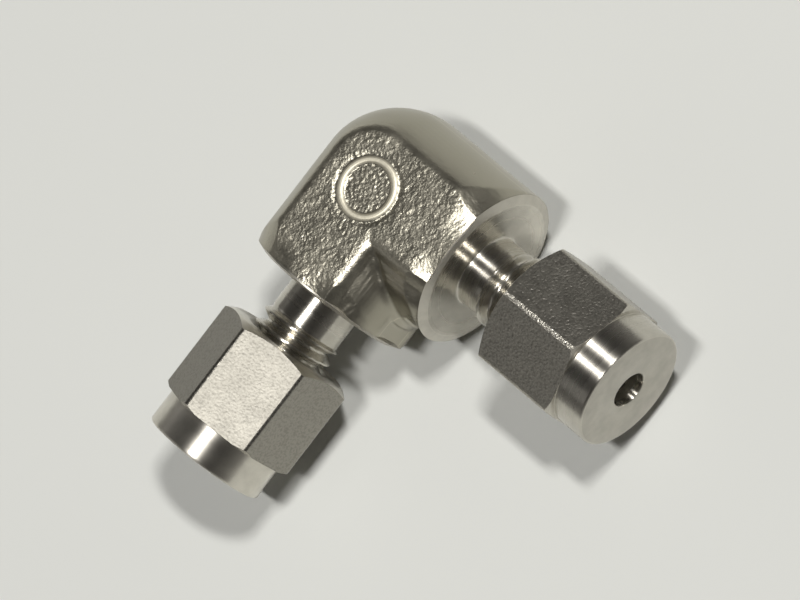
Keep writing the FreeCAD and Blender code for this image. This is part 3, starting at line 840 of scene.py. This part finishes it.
class ELBOW_OT_nuts(bpy.types.Operator):
    """Build both hexagon nuts"""
    bl_idname = "elbow.nuts"
    bl_label = "Nuts"

    def execute(self, context):
        scene = context.scene
        satin = tuple(scene.elbow_finishes.satin)
        # Painted shade: both nuts have the same blasted finish, each darkened by its own amount,
        # the left one more.
        blasted = {
            "right": blasted_steel("right_blasted_steel", dim(satin, 0.9), 0.34, 0.39,
                                   depth=0.00004, pitted=0.4),
            "left": blasted_steel("left_blasted_steel", dim(satin, 0.81), 0.48, 0.54,
                                  depth=0.000024, pitted=0.3),
        }
        # Painted light: the right nut's corners are made lighter, a painted highlight, and the left
        # nut's darker, a painted shade; both are worn smoother than the flats.
        worn_light_shade_corners = {
            "right": worn_corner_light_shade("right_rubbed_corner", dim(satin, 1.15), 0.32, depth=0.00008),
            "left": worn_corner_light_shade("left_rubbed_corner", dim(satin, 0.7), 0.26, depth=0.00002),
        }
        base = tuple(scene.elbow_finishes.machined)
        for arm, axis, turn in (("right", "X", scene.elbow_right_turn),
                                ("left", "Y", scene.elbow_left_turn)):
            # Painted light: the same turned collar is made darker on the right nut and lighter on
            # the left.
            shade, gloss = (0.95, 0.25) if arm == "right" else (1.15, 0.34)
            turned = turned_steel(arm + "_turned_collar", dim(base, shade), axis,
                                  gloss, gloss + 0.06, marks=0.4, spread=0.9)
            # Painted shade: the faced ends are darkened.
            faced = turned_steel(arm + "_faced_end", dim(base, 0.79), axis,
                                 0.30, 0.36, marks=0.3, spread=0.5)
            bm = MeshBuilder(scene).nut_shell(arm, turn)
            add_piece(arm + "_nut_shell", bm, [blasted[arm], turned, worn_light_shade_corners[arm], faced],
                      arm + "_nut", arm + "_nut")
        return {"FINISHED"}


class ELBOW_OT_ferrules(bpy.types.Operator):
    """Give the four ferrules inside the nuts their turned finish"""
    bl_idname = "elbow.ferrules"
    bl_label = "Ferrules"

    def execute(self, context):
        base = tuple(context.scene.elbow_finishes.ferrule)
        for arm, axis in (("right", "X"), ("left", "Y")):
            material = turned_steel(arm + "_ferrule_steel", base, axis,
                                    0.2, 0.3, marks=0.3, spread=0.7)
            for place in ("front", "back"):
                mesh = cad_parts[arm + "_" + place + "_ferrule"].data
                if mesh.materials:
                    mesh.materials[0] = material
                else:
                    mesh.materials.append(material)
        return {"FINISHED"}


class ELBOW_OT_stage(bpy.types.Operator):
    """Lay the paper and set the lamps, the room and the camera"""
    bl_idname = "elbow.stage"
    bl_label = "Stage"

    def execute(self, context):
        scene = context.scene
        settings = scene.elbow_stage_settings
        self.lay_paper(scene, settings)
        self.hang_lamps(scene, settings)
        self.set_room(scene, settings)
        self.set_camera(scene)
        return {"FINISHED"}

    def lay_paper(self, scene, settings):
        """A wide sheet of paper, just under the part."""
        bm = bmesh.new()
        bmesh.ops.create_grid(bm, x_segments=1, y_segments=1, size=settings.floor_half)
        bmesh.ops.translate(bm, verts=bm.verts, vec=(0, 0, CAD_BOX[0][2]))
        mesh = bpy.data.meshes.new("paper")
        bm.to_mesh(mesh)
        bm.free()
        mesh.materials.append(paper(settings))
        sheet = bpy.data.objects.new("paper", mesh)
        scene.collection.objects.link(sheet)

    def hang_lamps(self, scene, settings):
        """Two lamps above and a dim window at the side, all aimed at the crossing."""
        for name, place, size, setting in LAMPS:
            data = bpy.data.lights.new(name, "AREA")
            data.shape = "RECTANGLE"
            data.size, data.size_y = size
            data.energy = getattr(settings, setting)
            data.color = LAMP_COLOUR
            lamp = bpy.data.objects.new(name, data)
            lamp.location = place
            away = Vector(place).normalized()
            side = Vector((1, 0, 0)) - away * away.x
            side.normalize()
            up = away.cross(side)
            lamp.rotation_euler = Matrix((side, up, away)).transposed().to_euler()
            scene.collection.objects.link(lamp)

    def set_room(self, scene, settings):
        """A plain room, lighter at the horizon than overhead."""
        world = bpy.data.worlds.new("room")
        world.use_nodes = True
        nodes, links = world.node_tree.nodes, world.node_tree.links
        background = nodes["Background"]
        background.inputs["Color"].default_value = ROOM_COLOUR
        direction = nodes.new("ShaderNodeTexCoord")
        split = nodes.new("ShaderNodeSeparateXYZ")
        links.new(direction.outputs["Generated"], split.inputs[0])
        level = nodes.new("ShaderNodeMapRange")
        links.new(split.outputs["Z"], level.inputs["Value"])
        level.inputs["From Max"].default_value = 0.6
        level.inputs["To Min"].default_value = settings.room * 2.2
        level.inputs["To Max"].default_value = settings.room * 0.5
        links.new(level.outputs["Result"], background.inputs["Strength"])
        scene.world = world

    def set_camera(self, scene):
        """The photograph's view, with a long lens from above."""
        data = bpy.data.cameras.new("camera")
        data.sensor_width = 36.0
        data.lens = CAMERA_LENS
        data.clip_start = 0.05
        data.clip_end = 50.0
        camera = bpy.data.objects.new("camera", data)
        camera.location = CAMERA_PLACE
        camera.rotation_euler = [radians(angle) for angle in CAMERA_TURN]
        scene.collection.objects.link(camera)
        scene.camera = camera
        scene.view_settings.view_transform = "Standard"


class ELBOW_PT_panel(bpy.types.Panel):
    """The elbow's sizes and steps, in the 3D view's sidebar"""
    bl_idname = "ELBOW_PT_panel"
    bl_label = "Union Elbow"
    bl_space_type = "VIEW_3D"
    bl_region_type = "UI"
    bl_category = "Union Elbow"

    def draw(self, context):
        layout = self.layout
        for operator in OPERATORS:
            layout.operator(operator.bl_idname)
        for group in ("elbow_body_sizes", "elbow_nut_sizes", "elbow_finishes",
                      "elbow_stage_settings"):
            settings = getattr(context.scene, group)
            box = layout.box()
            for name in settings.bl_rna.properties.keys():
                if name not in {"rna_type", "name"}:
                    box.prop(settings, name)


OPERATORS = (ELBOW_OT_forging, ELBOW_OT_ports, ELBOW_OT_nuts, ELBOW_OT_ferrules, ELBOW_OT_stage)
CLASSES = (BodySizes, NutSizes, Finishes, StageSettings) + OPERATORS + (ELBOW_PT_panel,)


def register():
    """Make the settings, operators and panel known."""
    for kind in CLASSES:
        bpy.utils.register_class(kind)
    bpy.types.Scene.elbow_body_sizes = PointerProperty(type=BodySizes)
    bpy.types.Scene.elbow_nut_sizes = PointerProperty(type=NutSizes)
    bpy.types.Scene.elbow_finishes = PointerProperty(type=Finishes)
    bpy.types.Scene.elbow_stage_settings = PointerProperty(type=StageSettings)
    bpy.types.Scene.elbow_right_turn = FloatProperty(
        name="Right nut turn", description="How far the right nut is turned about its axis",
        default=radians(58.3), unit="ROTATION")
    bpy.types.Scene.elbow_left_turn = FloatProperty(
        name="Left nut turn", description="How far the left nut is turned about its axis",
        default=radians(10.4), unit="ROTATION")


def unregister():
    """Take the settings, operators and panel away again."""
    for name in ("elbow_body_sizes", "elbow_nut_sizes", "elbow_finishes",
                 "elbow_stage_settings", "elbow_right_turn", "elbow_left_turn"):
        delattr(bpy.types.Scene, name)
    for kind in reversed(CLASSES):
        bpy.utils.unregister_class(kind)


def main():
    """Build every piece and the stage in order."""
    register()
    bpy.ops.elbow.forging()
    bpy.ops.elbow.ports()
    bpy.ops.elbow.nuts()
    bpy.ops.elbow.ferrules()
    bpy.ops.elbow.stage()


if __name__ == "__main__":
    main()
